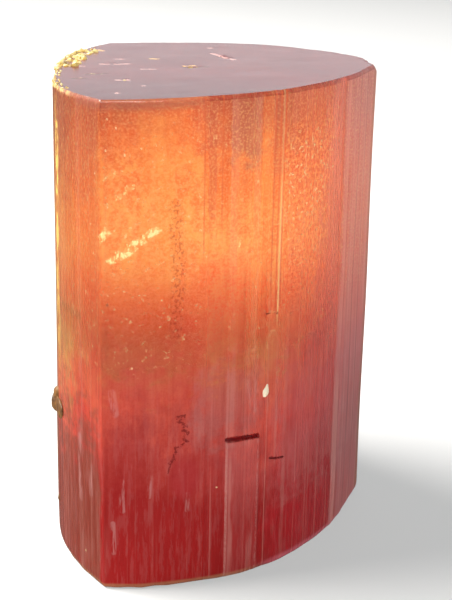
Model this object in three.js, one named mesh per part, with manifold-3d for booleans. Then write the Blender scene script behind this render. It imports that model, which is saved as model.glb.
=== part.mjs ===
// An elbaite tourmaline crystal: one stout upright prism with the rounded three-sided section of the
// mineral, fine upright striations and a few growth plates on its sides, a cut base and a nearly flat,
// slightly leaning top. Millimetres, +Z up. The front faces -Y, and the base stands on z = 0.
import * as THREE from "three";
import { mergeVertices } from "three/addons/utils/BufferGeometryUtils.js";
import Module from "manifold-3d";

const wasm = await Module();
wasm.setup();

// Driving dimensions. The whole crystal follows HEIGHT and the three corner edges of the section.
const HEIGHT = 34;
const FRONT_CORNER = [-7.3, -13.3];
const RIGHT_CORNER = [11.9, 1.4];
const BACK_CORNER = [-9.2, 13.8];

// Each side of the section bulges between two corners. These are the points it passes on the way.
const FRONT_SIDE = [[-4.3, -13.2], [0.2, -12.1], [3.8, -10.4], [6.9, -7.7], [9.5, -4.1]];
const BACK_SIDE = [[10.6, 5.0], [7.9, 8.4], [4.6, 11.5], [0.2, 13.3], [-4.9, 13.9]];
const LEFT_SIDE = [[-10.8, 10.7], [-12.0, 5.3], [-11.8, -0.8], [-11.15, -6.4], [-9.6, -10.15]];

// The prism narrows a little upwards, mostly across its width, and its top leans down to the left.
const NARROWING_X = 0.046;
const NARROWING_Y = 0.002;
const TOP_LEAN_X = THREE.MathUtils.degToRad(1.64);
const TOP_LEAN_Y = THREE.MathUtils.degToRad(-0.69);

// The rims: a narrow bevel worn round the base, and a finer one round the top.
const BASE_BEVEL = { inset: 0.22, height: 0.55 };
const TOP_BEVEL = { inset: 0.1, height: 0.15 };

// Upright lines of points, the stations, carry the striations. A growth plate's edge is a wall this wide,
// between two stations or two rings, and other stations keep clear of it. A side is drawn first as finer
// points.
const STATION_PITCH = 0.52;
const WALL = 0.12;
const WALL_CLEARANCE = 0.13;
const SIDE_DIVISIONS = 400;

// Striations: upright steps, as terraces of two widths whose spacing wanders along the side.
const STRIAE = [
  { width: 3.7, depth: 0.13, wander: 0.3 },
  { width: 1.62, depth: 0.1, wander: 0.45 },
];

// A slow unevenness of the sides, so that no striation runs dead straight: its size in millimetres, how
// fast it turns upwards and along the side, in radians per millimetre, and how it drifts.
const UNEVENNESS = { size: 0.04, upward: 0.31, along: 0.9, drift: 0.23, driftTurn: 1.7 };

// Growth plates stand proud of the sides. "from" and "to" run along the side from the corner named, and
// "low" and "high" are heights. A plate with a negative rise is a groove.
const BELOW_BASE = -1;
const ABOVE_TOP = HEIGHT + 1;
const PLATES = [
  { corner: "front", from: 8.55, to: 11.1, low: BELOW_BASE, high: 10.7, rise: 0.26 },
  { corner: "front", from: 11.35, to: 11.75, low: 19.4, high: ABOVE_TOP, rise: -0.16 },
  { corner: "front", from: 11.85, to: 12.35, low: 19.4, high: ABOVE_TOP, rise: 0.2 },
  { corner: "front", from: 19.4, to: 25.6, low: BELOW_BASE, high: ABOVE_TOP, rise: 0.12 },
  { corner: "front", from: 4.7, to: 5.3, low: 8.6, high: 26.5, rise: -0.12 },
  { corner: "right", from: 5.6, to: 8.4, low: 10.7, high: ABOVE_TOP, rise: 0.18 },
  { corner: "right", from: 12.7, to: 17.3, low: BELOW_BASE, high: 19.4, rise: 0.22 },
  { corner: "right", from: 20.6, to: 21.4, low: 8.6, high: ABOVE_TOP, rise: -0.14 },
  { corner: "back", from: 6.2, to: 9.6, low: 14.9, high: ABOVE_TOP, rise: 0.2 },
  { corner: "back", from: 15.2, to: 22.9, low: BELOW_BASE, high: 10.7, rise: 0.16 },
  { corner: "back", from: 22.9, to: 26.2, low: 14.9, high: 19.4, rise: 0.1 },
];

// Heights of the rings of points between the bevels. Each growth plate ends in a wall between two of them.
const PLATE_ENDS = [8.6, 10.7, 14.9, 19.4, 26.5];
const PLAIN_RINGS = [3, 5.8, 12.8, 17.2, 23, 30];

// The chip that takes the right corner off the top rim: a sloping block, set where the break starts.
const CORNER_CHIP = { block: [3, 4.6, 1.6], slope: 42, turn: 8, x: 11.0, y: 1.6, lift: 0.12 };

// Small bites out of the top rim along the left side, where the edge is broken and catches the light.
const RIM_CHIPS = { count: 13, start: 3.5, spacing: 1.55, size: [0.5, 1.2, 0.55], lift: 0.06 };

// Shallow pits and scratches in the top face: where each is, its length and width, and the way it points.
const TOP_PITS = [
  { x: -9.2, y: -4.6, length: 0.9, width: 0.3, turn: 6 },
  { x: -8.1, y: -2.9, length: 1.2, width: 0.35, turn: 0 },
  { x: -6.2, y: -5.7, length: 0.8, width: 0.4, turn: 12 },
  { x: -7.4, y: 1.7, length: 2.2, width: 0.4, turn: -3 },
  { x: -1.8, y: -0.1, length: 1.1, width: 0.5, turn: 9 },
  { x: -4.6, y: 4.1, length: 0.6, width: 0.4, turn: 0 },
  { x: 0.6, y: 4.8, length: 2.4, width: 0.5, turn: -63 },
];
const PIT_DEPTH = 0.12;

// Crusts on the sides: the rusty lump on the left, which is two knobs grown together over a flat skirt,
// the pale grain on the front and a small knob near the foot. "along" runs round the section from the front
// corner edge.
const CRUSTS = [
  { along: -8.7, height: 10.7, size: [1.05, 1.4, 1.5], turn: 11 },
  { along: -8.5, height: 11.6, size: [0.7, 0.9, 0.9], turn: 29 },
  { along: -7.3, height: 10.9, size: [0.44, 2.4, 1.5], turn: 15 },
  { along: 11.5, height: 13.9, size: [0.45, 0.4, 0.95], turn: 34 },
  { along: -7.6, height: 3.4, size: [0.5, 0.6, 0.7], turn: 0 },
];

// A smooth side of the section from one corner to the next, as evenly spaced points.
function sideBetween(start, bulge, end) {
  const points = [start, ...bulge, end].map(([x, y]) => new THREE.Vector3(x, y, 0));
  return new THREE.CatmullRomCurve3(points, false, "catmullrom", 0.5).getSpacedPoints(SIDE_DIVISIONS);
}

// The section: its three sides in turn, anticlockwise seen from above, the distance round it at every
// point, and that of its corners.
function drawSection() {
  const sides = [
    sideBetween(FRONT_CORNER, FRONT_SIDE, RIGHT_CORNER),
    sideBetween(RIGHT_CORNER, BACK_SIDE, BACK_CORNER),
    sideBetween(BACK_CORNER, LEFT_SIDE, FRONT_CORNER),
  ];
  const points = sides.flatMap((side) => side.slice(0, -1));
  const distances = [0];
  points.forEach((point, i) => {
    const next = points[(i + 1) % points.length];
    distances.push(distances[i] + point.distanceTo(next));
  });
  return {
    points,
    distances,
    perimeter: distances[points.length],
    corners: { front: 0, right: distances[SIDE_DIVISIONS], back: distances[2 * SIDE_DIVISIONS] },
  };
}

const section = drawSection();

// The point of the section a given distance round it.
function pointAt(distance) {
  const wrapped = THREE.MathUtils.euclideanModulo(distance, section.perimeter);
  const after = section.distances.findIndex((d) => d > wrapped);
  const from = section.distances[after - 1];
  const share = (wrapped - from) / (section.distances[after] - from);
  const next = section.points[after % section.points.length];
  return section.points[after - 1].clone().lerp(next, share);
}

// The outward direction there, taken over a short stretch so that it turns evenly round a corner.
function outwardAt(distance) {
  const along = pointAt(distance + WALL).sub(pointAt(distance - WALL));
  return new THREE.Vector3(along.y, -along.x, 0).normalize();
}

// How far the striations raise or sink the surface.
function striation(distance) {
  return STRIAE.reduce((sum, { width, depth, wander }) => {
    const turns = distance / width + wander * Math.sin(distance / (1.9 * width));
    const share = turns - Math.floor(turns);
    return sum + depth * (share - 0.5);
  }, 0);
}

// Where a growth plate starts and ends, as distances round the section.
function spanOf(plate) {
  const start = section.corners[plate.corner];
  return [start + plate.from, start + plate.to];
}

// How far the growth plates raise or sink the surface.
function plateRise(distance, height) {
  return PLATES.reduce((sum, plate) => {
    const [start, end] = spanOf(plate);
    const covered = distance > start && distance < end && height > plate.low && height < plate.high;
    return covered ? sum + plate.rise : sum;
  }, 0);
}

// How far the slow unevenness of the sides moves the surface.
function unevenness(distance, height) {
  const { size, upward, along, drift, driftTurn } = UNEVENNESS;
  const phase = driftTurn * Math.sin(drift * distance);
  return size * Math.sin(upward * height + phase) * Math.sin(along * distance);
}

// How far the worn rims draw the surface in.
function bevelInset(height) {
  if (height === 0) return BASE_BEVEL.inset;
  return height === HEIGHT ? TOP_BEVEL.inset : 0;
}

// Distances round the section that get a line of points: even ones, the corners, and a close pair at each
// growth plate's edge.
function stationDistances() {
  const count = Math.round(section.perimeter / STATION_PITCH);
  const even = Array.from({ length: count }, (_, i) => (i * section.perimeter) / count);
  const corners = Object.values(section.corners);
  const edges = PLATES.flatMap(spanOf);
  const free = even.filter((d) => [...edges, ...corners].every((e) => Math.abs(d - e) > WALL_CLEARANCE));
  return [...free, ...corners, ...edges.flatMap((e) => [e - WALL / 2, e + WALL / 2])].sort((a, b) => a - b);
}

// Heights that get a ring of points.
function ringHeights() {
  const pairs = PLATE_ENDS.flatMap((h) => [h - WALL / 2, h + WALL / 2]);
  const inner = [BASE_BEVEL.height, ...PLAIN_RINGS, ...pairs, HEIGHT - TOP_BEVEL.height];
  return [0, ...inner, HEIGHT].sort((a, b) => a - b);
}

// The height of the leaning top face over a point of the section.
function topLevel(x, y) {
  return HEIGHT + x * Math.tan(TOP_LEAN_X) + y * Math.tan(TOP_LEAN_Y);
}

// A point of the crystal's side. Heights are measured on a crystal with a level top, then stretched to the
// leaning one.
function surfacePoint(distance, height) {
  const outward = outwardAt(distance);
  const relief = striation(distance) + plateRise(distance, height) + unevenness(distance, height);
  const flat = pointAt(distance).addScaledVector(outward, relief - bevelInset(height));
  const share = height / HEIGHT;
  const x = flat.x * (1 - NARROWING_X * share);
  const y = flat.y * (1 - NARROWING_Y * share);
  return [x, y, topLevel(x, y) * share];
}

// The prism: rings of points from the base to the top, joined by quads, and a fan on each end.
function prismGeometry() {
  const stations = stationDistances();
  const rings = ringHeights();
  const ringPoints = (height) => stations.flatMap((distance) => surfacePoint(distance, height));
  const positions = rings.flatMap(ringPoints);
  const baseCentre = positions.length / 3;
  const topCentre = baseCentre + 1;
  positions.push(0, 0, 0, 0, 0, HEIGHT);
  const index = [];
  const count = stations.length;
  const last = (rings.length - 1) * count;
  for (let i = 0; i < count; i++) {
    const next = (i + 1) % count;
    for (let row = 0; row < last; row += count) {
      index.push(row + i, row + next, row + count + next);
      index.push(row + i, row + count + next, row + count + i);
    }
    index.push(baseCentre, next, i);
    index.push(topCentre, last + i, last + next);
  }
  const geometry = new THREE.BufferGeometry();
  geometry.setAttribute("position", new THREE.Float32BufferAttribute(positions, 3));
  geometry.setIndex(index);
  return geometry;
}

// A closed three.js geometry as a solid that can be cut and joined.
function solidOf(geometry) {
  const bare = geometry.clone();
  bare.deleteAttribute("normal");
  bare.deleteAttribute("uv");
  const merged = mergeVertices(bare, 1e-4);
  const mesh = new wasm.Mesh({
    numProp: 3,
    vertProperties: new Float32Array(merged.attributes.position.array),
    triVerts: new Uint32Array(merged.index.array),
  });
  return new wasm.Manifold(mesh);
}

function geometryOf(solid) {
  const mesh = solid.getMesh();
  const geometry = new THREE.BufferGeometry();
  geometry.setAttribute("position", new THREE.BufferAttribute(mesh.vertProperties, 3));
  geometry.setIndex(new THREE.BufferAttribute(mesh.triVerts, 1));
  geometry.computeVertexNormals();
  return geometry;
}

// A low faceted knob, stretched to a size, turned by some degrees and set at a place.
function knob(size, place, turn) {
  const geometry = new THREE.IcosahedronGeometry(0.5, 1);
  geometry.scale(...size).rotateZ(THREE.MathUtils.degToRad(turn)).translate(...place);
  return solidOf(geometry);
}

function cornerChip() {
  const { block, slope, turn, x, y, lift } = CORNER_CHIP;
  const geometry = new THREE.BoxGeometry(...block);
  geometry.translate(0, 0, block[2] / 2).rotateY(THREE.MathUtils.degToRad(slope));
  geometry.rotateZ(THREE.MathUtils.degToRad(turn)).translate(x, y, HEIGHT + lift);
  return solidOf(geometry);
}

// The bites differ in length, depth and direction from one to the next.
function rimChips() {
  const { count, start, spacing, size: [depth, length, height], lift } = RIM_CHIPS;
  return Array.from({ length: count }, (_, i) => {
    const [x, y, z] = surfacePoint(section.corners.back + start + i * spacing, HEIGHT);
    const size = [depth * (1 + 0.4 * Math.cos(3.4 * i)), length * (1 + 0.4 * Math.sin(2.1 * i)), height];
    const turn = 17 * Math.sin(1.3 * i);
    return knob(size, [x, y, z + lift], turn);
  });
}

function topPits() {
  return TOP_PITS.map(({ x, y, length, width, turn }) =>
    knob([length, width, 2 * PIT_DEPTH], [x, y, topLevel(x, y)], turn),
  );
}

function crusts() {
  return CRUSTS.map(({ along, height, size, turn }) => knob(size, surfacePoint(along, height), turn));
}

// The finished crystal, with its origin under the middle of its box.
function crystalGeometry() {
  const grown = crusts().reduce((solid, crust) => solid.add(crust), solidOf(prismGeometry()));
  const bites = [cornerChip(), ...rimChips(), ...topPits()];
  const worn = bites.reduce((solid, bite) => solid.subtract(bite), grown);
  const geometry = geometryOf(worn);
  geometry.computeBoundingBox();
  const middle = geometry.boundingBox.getCenter(new THREE.Vector3());
  geometry.translate(-middle.x, -middle.y, 0);
  return geometry;
}

// Orange red, with the soft gloss of a natural crystal's sides.
const tourmaline = new THREE.MeshStandardMaterial({ color: 0xc8503c, roughness: 0.25, metalness: 0 });

const crystal = new THREE.Mesh(crystalGeometry(), tourmaline);
crystal.name = "crystal";

const specimen = new THREE.Group();
specimen.add(crystal);

export default specimen;
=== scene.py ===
"""An elbaite tourmaline crystal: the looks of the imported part.

One dense mesh stands for the CAD node "crystal". It repeats the node's section, striations, growth plates
and rims from the same named sizes, and adds what is too fine for the solid. Crusts and grains sit on it.
Places on the crystal are given as in the part: distances round the section, anticlockwise from the front
corner edge, and heights over the base. The UV map "surface" holds both, in millimetres.
"""

import math

import bmesh
import bpy
import numpy as np
from mathutils import Matrix, Vector
from mathutils.geometry import delaunay_2d_cdt

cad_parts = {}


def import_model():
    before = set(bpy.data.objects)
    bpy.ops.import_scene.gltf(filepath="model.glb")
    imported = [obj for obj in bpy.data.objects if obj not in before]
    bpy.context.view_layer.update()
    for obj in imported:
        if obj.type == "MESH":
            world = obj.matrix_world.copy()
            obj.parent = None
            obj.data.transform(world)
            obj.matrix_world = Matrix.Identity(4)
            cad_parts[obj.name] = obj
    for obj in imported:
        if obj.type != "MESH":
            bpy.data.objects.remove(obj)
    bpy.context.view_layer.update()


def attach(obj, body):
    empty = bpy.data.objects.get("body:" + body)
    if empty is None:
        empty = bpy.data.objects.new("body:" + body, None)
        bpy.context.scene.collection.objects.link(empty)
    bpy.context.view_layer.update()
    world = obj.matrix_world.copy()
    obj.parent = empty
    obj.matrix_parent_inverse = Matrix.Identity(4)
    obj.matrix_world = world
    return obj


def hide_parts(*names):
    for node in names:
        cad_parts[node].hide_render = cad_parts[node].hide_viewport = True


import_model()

MM = 0.001

# The section's three corners and the points that each side passes, and where its middle is drawn.
FRONT_CORNER = (-7.3, -13.3)
RIGHT_CORNER = (11.9, 1.4)
BACK_CORNER = (-9.2, 13.8)
FRONT_SIDE = [(-4.3, -13.2), (0.2, -12.1), (3.8, -10.4), (6.9, -7.7), (9.5, -4.1)]
BACK_SIDE = [(10.6, 5.0), (7.9, 8.4), (4.6, 11.5), (0.2, 13.3), (-4.9, 13.9)]
LEFT_SIDE = [(-10.8, 10.7), (-12.0, 5.3), (-11.8, -0.8), (-11.15, -6.4), (-9.6, -10.15)]
MIDDLE = np.array([-0.0652, 0.3273])

# Height, narrowing and lean, as in the part.
HEIGHT = 34.0
NARROWING = np.array([0.046, 0.002])
TOP_LEAN = np.tan(np.radians([1.64, -0.69]))

# Rims, worn round.
BASE_BEVEL = {"inset": 0.22, "height": 0.55}
TOP_BEVEL = {"inset": 0.1, "height": 0.15}
CORNER_RADIUS = 0.1

# The mesh: stations round the section, and rings that are closer where the relief has upright ends.
STATIONS = 960
RING_PITCH = 0.46
CLOSE_HEIGHTS = [8.35, 8.6, 10.6, 10.75, 10.9, 14.9, 19.4, 26.5]
WALL = 0.06
TOP_PITCH = 0.42

# Striations: terraces as in the part but softer, and finer ones that fade in and out.
STRIAE = [
    {"width": 3.7, "depth": 0.045, "wander": 0.3},
    {"width": 1.62, "depth": 0.03, "wander": 0.45},
]
STRIA_EDGE = 0.12
FINE_STRIAE = [
    {"mean": 0.62, "depth": 0.04, "fade": 0.05},
    {"mean": 0.26, "depth": 0.022, "fade": 0.09},
]
UNEVENNESS = {"size": 0.03, "upward": 0.31, "along": 0.9, "drift": 0.23, "turn": 1.7}

# How strongly the striations show, by distance round the section.
STRIA_STRENGTH = [(-28.8, 1.0), (-10.0, 0.6), (-1.0, 0.3), (0.0, 0.2), (8.0, 0.35), (11.0, 0.7),
                  (13.5, 0.35), (18.6, 0.45), (19.4, 1.0), (26.2, 1.1), (53.2, 1.0)]

# The share of the relief that wear has left at the foot, and the height where all of it is left.
FOOT_WEAR = {"left": 0.3, "height": 4.0}

# Growth plates, and grooves where the rise is negative: the corner that they are measured from, start, end,
# lowest and highest place, and rise. They lie where the part has them, and stand less proud.
BELOW_BASE = -1.0
ABOVE_TOP = HEIGHT + 1
PLATES = [
    ("front", 8.55, 11.1, BELOW_BASE, 10.6, 0.10),
    ("front", 11.35, 11.75, 19.4, ABOVE_TOP, -0.06),
    ("front", 11.85, 12.35, 19.4, ABOVE_TOP, 0.07),
    ("front", 19.4, 25.6, BELOW_BASE, ABOVE_TOP, 0.06),
    ("front", 4.7, 5.3, 8.6, 26.5, -0.02),
    ("right", 5.6, 8.4, 10.7, ABOVE_TOP, 0.10),
    ("right", 12.7, 17.3, BELOW_BASE, 19.4, 0.12),
    ("right", 20.6, 21.4, 8.6, ABOVE_TOP, -0.07),
    ("back", 6.2, 9.6, 14.9, ABOVE_TOP, 0.10),
    ("back", 15.2, 22.9, BELOW_BASE, 10.7, 0.05),
    ("back", 22.9, 26.2, 14.9, 19.4, 0.03),
]

# The break at the right corner of the top rim: a sloping plane through a point, facing a way and up.
CORNER_CHIP = {"point": (11.0, 1.6, 34.12), "slope": 42.0, "turn": 8.0, "reach": 2.3}

# Where the left rim is broken, as distances from the back corner, and how deep the bites are.
BROKEN_RIM = {"start": 2.6, "end": 24.0, "inset": 0.24, "depth": 0.32, "pitch": 1.55}

# Pits and scratches of the top face: place, length, width, direction in degrees and depth.
TOP_PITS = [
    (-9.2, -4.6, 0.9, 0.3, 6, 0.12),
    (-8.1, -2.9, 1.2, 0.35, 0, 0.12),
    (-6.2, -5.7, 0.8, 0.4, 12, 0.12),
    (-7.4, 1.7, 2.2, 0.4, -3, 0.12),
    (-1.8, -0.1, 1.1, 0.5, 9, 0.12),
    (-4.6, 4.1, 0.6, 0.4, 0, 0.12),
    (0.6, 4.8, 2.4, 0.5, -63, 0.12),
]

# Cracks and the notch over the front plate: their points as (along, up), width and depth.
WIGGLY_CRACK = [(5.6, 11.1), (5.05, 10.65), (4.65, 9.7), (4.45, 9.0)]
NOTCH = [(8.6, 10.8), (10.9, 10.68)]
DASH = [(12.05, 8.65), (12.6, 8.47), (13.25, 8.35)]
CRACKS = [(WIGGLY_CRACK, 0.13, 0.08), (NOTCH, 0.17, 0.16), (DASH, 0.1, 0.06)]

# UV rows of the two ends, well away from the sides' own heights.
TOP_SHEET = 100.0
BASE_SHEET = -100.0


# Section

def smooth_side(start, bulge, end, divisions=120):
    """Points of a uniform Catmull-Rom curve from start to just before end."""
    through = np.array([start, *bulge, end])
    padded = np.vstack([2 * through[0] - through[1], through, 2 * through[-1] - through[-2]])
    t = np.linspace(0, 1, divisions, endpoint=False)[:, None]
    pieces = []
    for before, left, right, after in zip(padded, padded[1:], padded[2:], padded[3:]):
        leave = (right - before) / 2
        arrive = (after - left) / 2
        stay = (2 * t**3 - 3 * t**2 + 1) * left + (3 * t**2 - 2 * t**3) * right
        pieces.append(stay + (t**3 - 2 * t**2 + t) * leave + (t**3 - t**2) * arrive)
    return np.vstack(pieces)


class Section:
    """The rounded three-sided outline, with places on it by the distance round it."""

    def __init__(self):
        sides = [
            smooth_side(FRONT_CORNER, FRONT_SIDE, RIGHT_CORNER),
            smooth_side(RIGHT_CORNER, BACK_SIDE, BACK_CORNER),
            smooth_side(BACK_CORNER, LEFT_SIDE, FRONT_CORNER),
        ]
        points = np.vstack(sides)
        steps = np.linalg.norm(np.roll(points, -1, 0) - points, axis=1)
        distances = np.concatenate([[0], np.cumsum(steps)])
        right = len(sides[0])
        back = right + len(sides[1])
        self.perimeter = distances[-1]
        self.corners = {"front": 0.0, "right": distances[right], "back": distances[back]}
        self.distances = distances
        self.points = np.vstack([points, points[:1]])
        self.round_corners()

    def round_corners(self, samples=4096):
        """Draws the outline again as even points, blurred over the corner radius."""
        even = np.arange(samples) * self.perimeter / samples
        drawn = self.at(even)
        turns = np.fft.fftfreq(samples, self.perimeter / samples)
        keep = np.exp(-2 * (math.pi * CORNER_RADIUS * turns) ** 2)[:, None]
        smooth = np.fft.ifft(np.fft.fft(drawn, axis=0) * keep, axis=0).real
        self.points = np.vstack([smooth, smooth[:1]])
        self.distances = np.append(even, self.perimeter)

    def at(self, distance):
        wrapped = np.mod(distance, self.perimeter)
        columns = [np.interp(wrapped, self.distances, self.points[:, k]) for k in range(2)]
        return np.stack(columns, -1)

    def outward(self, distance, reach=0.12):
        along = self.at(distance + reach) - self.at(distance - reach)
        across = np.stack([along[..., 1], -along[..., 0]], -1)
        return across / np.linalg.norm(across, axis=-1, keepdims=True)

    def signed(self, distance):
        """The distance taken from the front corner the shorter way, negative on the left side."""
        return np.where(distance > self.corners["back"], distance - self.perimeter, distance)


section = Section()


# Relief of the sides, in millimetres outward

def blend(value, low, high):
    """0 below low, 1 above high, and smooth between."""
    share = np.clip((value - low) / (high - low), 0, 1)
    return share * share * (3 - 2 * share)


def within(value, low, high, soft):
    """1 between low and high, with soft ends."""
    inside = blend(value, low - soft / 2, low + soft / 2)
    return inside * (1 - blend(value, high - soft / 2, high + soft / 2))


def turned_place(x, y, px, py, turn):
    """Places measured from a point, along a direction in degrees and across it."""
    c = math.cos(math.radians(turn))
    s = math.sin(math.radians(turn))
    return (x - px) * c + (y - py) * s, (y - py) * c - (x - px) * s


def value_noise(x, y, seed):
    """Smooth random values from -1 to 1 over a unit grid."""
    size = 64
    table = np.random.default_rng(seed).uniform(-1, 1, (size, size))
    column = np.floor(x).astype(int)
    row = np.floor(y).astype(int)
    across = blend(x - column, 0, 1)
    upward = blend(y - row, 0, 1)

    def corner(right, above):
        return table[(column + right) % size, (row + above) % size]

    low = corner(0, 0) * (1 - across) + corner(1, 0) * across
    high = corner(0, 1) * (1 - across) + corner(1, 1) * across
    return low * (1 - upward) + high * upward


def stria_strength(distance):
    known_at, known = zip(*STRIA_STRENGTH)
    return np.interp(section.signed(distance), known_at, known)


def coarse_striation(distance):
    total = np.zeros_like(distance)
    for stria in STRIAE:
        turns = distance / stria["width"]
        turns = turns + stria["wander"] * np.sin(distance / (1.9 * stria["width"]))
        share = np.mod(turns, 1)
        rising = share / (1 - STRIA_EDGE)
        falling = (1 - share) / STRIA_EDGE
        total += stria["depth"] * (np.minimum(rising, falling) - 0.5)
    return total * stria_strength(distance)


def fine_striation(distance, height):
    """Terraces of random widths and levels, which drift a little sideways and fade with height."""
    total = np.zeros_like(distance)
    for number, stria in enumerate(FINE_STRIAE):
        random = np.random.default_rng(40 + number)
        widths = random.gamma(2.0, stria["mean"] / 2, int(1.6 * section.perimeter / stria["mean"]))
        edges = np.cumsum(widths)
        levels = random.uniform(-0.5, 0.5, len(edges) + 1)
        drift = 0.05 * stria["mean"] * value_noise(distance / 2.7, height / 18, 50 + number)
        level = levels[np.searchsorted(edges, distance + drift)]
        fade = 0.6 + 0.4 * value_noise(distance / 1.3, height * stria["fade"], 60 + number)
        total += stria["depth"] * level * fade
    return total * stria_strength(distance)


def plate_rise(distance, height):
    total = np.zeros_like(distance)
    for corner, start, end, low, high, rise in PLATES:
        first = section.corners[corner]
        across = within(distance, start + first, end + first, WALL)
        total += rise * across * within(height, low, high, WALL)
    return total


def unevenness(distance, height):
    phase = UNEVENNESS["turn"] * np.sin(UNEVENNESS["drift"] * distance)
    upward = np.sin(UNEVENNESS["upward"] * height + phase)
    return UNEVENNESS["size"] * upward * np.sin(UNEVENNESS["along"] * distance)


def groove(distance, height, path, width, depth):
    """A groove along a path of (along, up) points, deepest in its middle."""
    nearest = np.full(distance.shape, np.inf)
    for (x0, y0), (x1, y1) in zip(path, path[1:]):
        length = math.hypot(x1 - x0, y1 - y0)
        across = np.array([(x1 - x0) / length, (y1 - y0) / length])
        share = np.clip((distance - x0) * across[0] + (height - y0) * across[1], 0, length)
        off = np.hypot(distance - x0 - share * across[0], height - y0 - share * across[1])
        nearest = np.minimum(nearest, off)
    return -depth * (1 - blend(nearest, 0.2 * width, width))


def etching(distance, height):
    """Fine upright scratches everywhere, and pits in the pebbly stretch right of the front."""
    signed = section.signed(distance)
    pebbly = blend(signed, 11.8, 12.8) * (1 - blend(signed, 16.5, 18.0))
    pebbly = pebbly * blend(height, 17.0, 20.0)
    scratches = value_noise(distance / 0.22, height / 4.5, 71)
    pits = value_noise(distance / 0.5, height / 1.4, 72)
    return 0.004 * scratches + 0.014 * pebbly * pits


def relief(distance, height):
    total = coarse_striation(distance) + fine_striation(distance, height)
    total += plate_rise(distance, height) + unevenness(distance, height)
    total *= FOOT_WEAR["left"] + (1 - FOOT_WEAR["left"]) * blend(height, 0, FOOT_WEAR["height"])
    for path, width, depth in CRACKS:
        total += groove(distance, height, path, width, depth)
    total += etching(distance, height)
    return total


# The rims and the top face

def broken_share(distance):
    """How much of a bite is taken from the top rim at a distance, from 0 to 1."""
    start = section.corners["back"] + BROKEN_RIM["start"]
    end = section.corners["back"] + BROKEN_RIM["end"]
    along = blend(distance, start, start + 1.5) * (1 - blend(distance, end - 1.5, end))
    turns = distance / BROKEN_RIM["pitch"]
    bites = value_noise(turns, 0 * distance, 81) + 0.6 * value_noise(3.1 * turns, 0 * distance, 82)
    everywhere = 0.1 + 0.08 * value_noise(distance / 0.7, 0 * distance, 83)
    return np.clip(along * (0.25 + 0.6 * bites) + everywhere, 0, 1)


def rim_inset(distance, height):
    """How far the worn and broken rims draw the surface in."""
    low = np.clip(1 - height / BASE_BEVEL["height"], 0, 1)
    chipped = 1 + 0.3 * value_noise(distance / 0.9, 0 * distance, 84)
    base = BASE_BEVEL["inset"] * chipped * (1 - np.sqrt(1 - low**1.6))
    bite = broken_share(distance)
    depth = TOP_BEVEL["height"] + BROKEN_RIM["depth"] * bite
    inset = TOP_BEVEL["inset"] + BROKEN_RIM["inset"] * bite
    high = np.clip(1 - (HEIGHT - height) / depth, 0, 1)
    return base + inset * high**1.4


def top_level(x, y):
    return HEIGHT + x * TOP_LEAN[0] + y * TOP_LEAN[1]


def chip_drop(x, y, z):
    """How far a point near the top lies over the break of the right corner."""
    slope = math.radians(CORNER_CHIP["slope"])
    px, py, pz = CORNER_CHIP["point"]
    over, beside = turned_place(x, y, px, py, CORNER_CHIP["turn"])
    plane = pz - over * math.tan(slope) + 0.05 * value_noise(x / 0.35, y / 0.35, 91)
    near = 1 - blend(np.abs(beside), CORNER_CHIP["reach"], CORNER_CHIP["reach"] + 0.3)
    return np.clip(z - plane, 0, None) * near


def side_point(distance, height):
    """Places of the sides, in millimetres in the part's frame."""
    out = relief(distance, height) - rim_inset(distance, height)
    flat = section.at(distance) + section.outward(distance) * out[..., None]
    share = height / HEIGHT
    flat = flat * (1 - NARROWING * share[..., None])
    level = top_level(flat[..., 0], flat[..., 1])
    z = level * share
    z = z - chip_drop(flat[..., 0], flat[..., 1], level) * blend(share, 0.955, 1.0)
    return np.concatenate([flat - MIDDLE, z[..., None]], -1)


def top_relief(x, y):
    """Pits, scratches and a slow swell of the top face, in millimetres upward."""
    total = 0.018 * value_noise(x / 2.3, y / 2.3, 92) + 0.006 * value_noise(x / 0.6, y / 0.6, 93)
    for px, py, length, width, turn, depth in TOP_PITS:
        along, across = turned_place(x, y, px, py, turn)
        reach = np.hypot(along / (length / 2), across / (width / 2))
        total -= depth * (1 - blend(reach, 0.3, 1.0))
    return total


def top_inside(rim):
    """Scattered points of the top face that keep clear of its rim."""
    random = np.random.default_rng(7)
    reach = np.abs(rim).max() + TOP_PITCH
    line = np.arange(-reach, reach, TOP_PITCH)
    x, y = (axis.ravel() for axis in np.meshgrid(line, line))
    x = x + random.uniform(-0.3, 0.3, len(x)) * TOP_PITCH
    y = y + random.uniform(-0.3, 0.3, len(y)) * TOP_PITCH
    order = np.argsort(np.arctan2(rim[:, 1], rim[:, 0]))
    angles = np.arctan2(rim[order, 1], rim[order, 0])
    edge = np.interp(np.arctan2(y, x), angles, np.hypot(rim[order, 0], rim[order, 1]), period=2 * math.pi)
    inside = np.hypot(x, y) < edge - 0.6 * TOP_PITCH
    return np.stack([x[inside], y[inside]], 1)


# Mesh of the crystal

def ring_heights():
    """Even rings, close pairs where a plate ends, and rounds of rings at both rims."""
    even = np.arange(BASE_BEVEL["height"], HEIGHT - 1, RING_PITCH)
    clear = [h for h in even if all(abs(h - end) > 0.12 for end in CLOSE_HEIGHTS)]
    ends = [h + side * WALL / 2 for h in CLOSE_HEIGHTS for side in (-1, 1)]
    base = [BASE_BEVEL["height"] * share for share in (0.0, 0.08, 0.25, 0.55)]
    top = [HEIGHT - depth for depth in (0.85, 0.6, 0.42, 0.3, 0.2, 0.12, 0.06, 0.0)]
    return np.array(sorted(set(clear + ends + base + top)))


def triangulate_top(rim):
    """The rim's own points first, then scattered ones, joined by triangles."""
    flat = np.vstack([rim, top_inside(rim)])
    outline = [list(range(len(rim)))]
    joined = delaunay_2d_cdt([Vector(p) for p in flat], [], outline, 1, 1e-6)
    faces = joined[2]
    source = [origin[0] for origin in joined[3]]
    return flat[len(rim):], [[source[i] for i in face] for face in faces]


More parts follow.
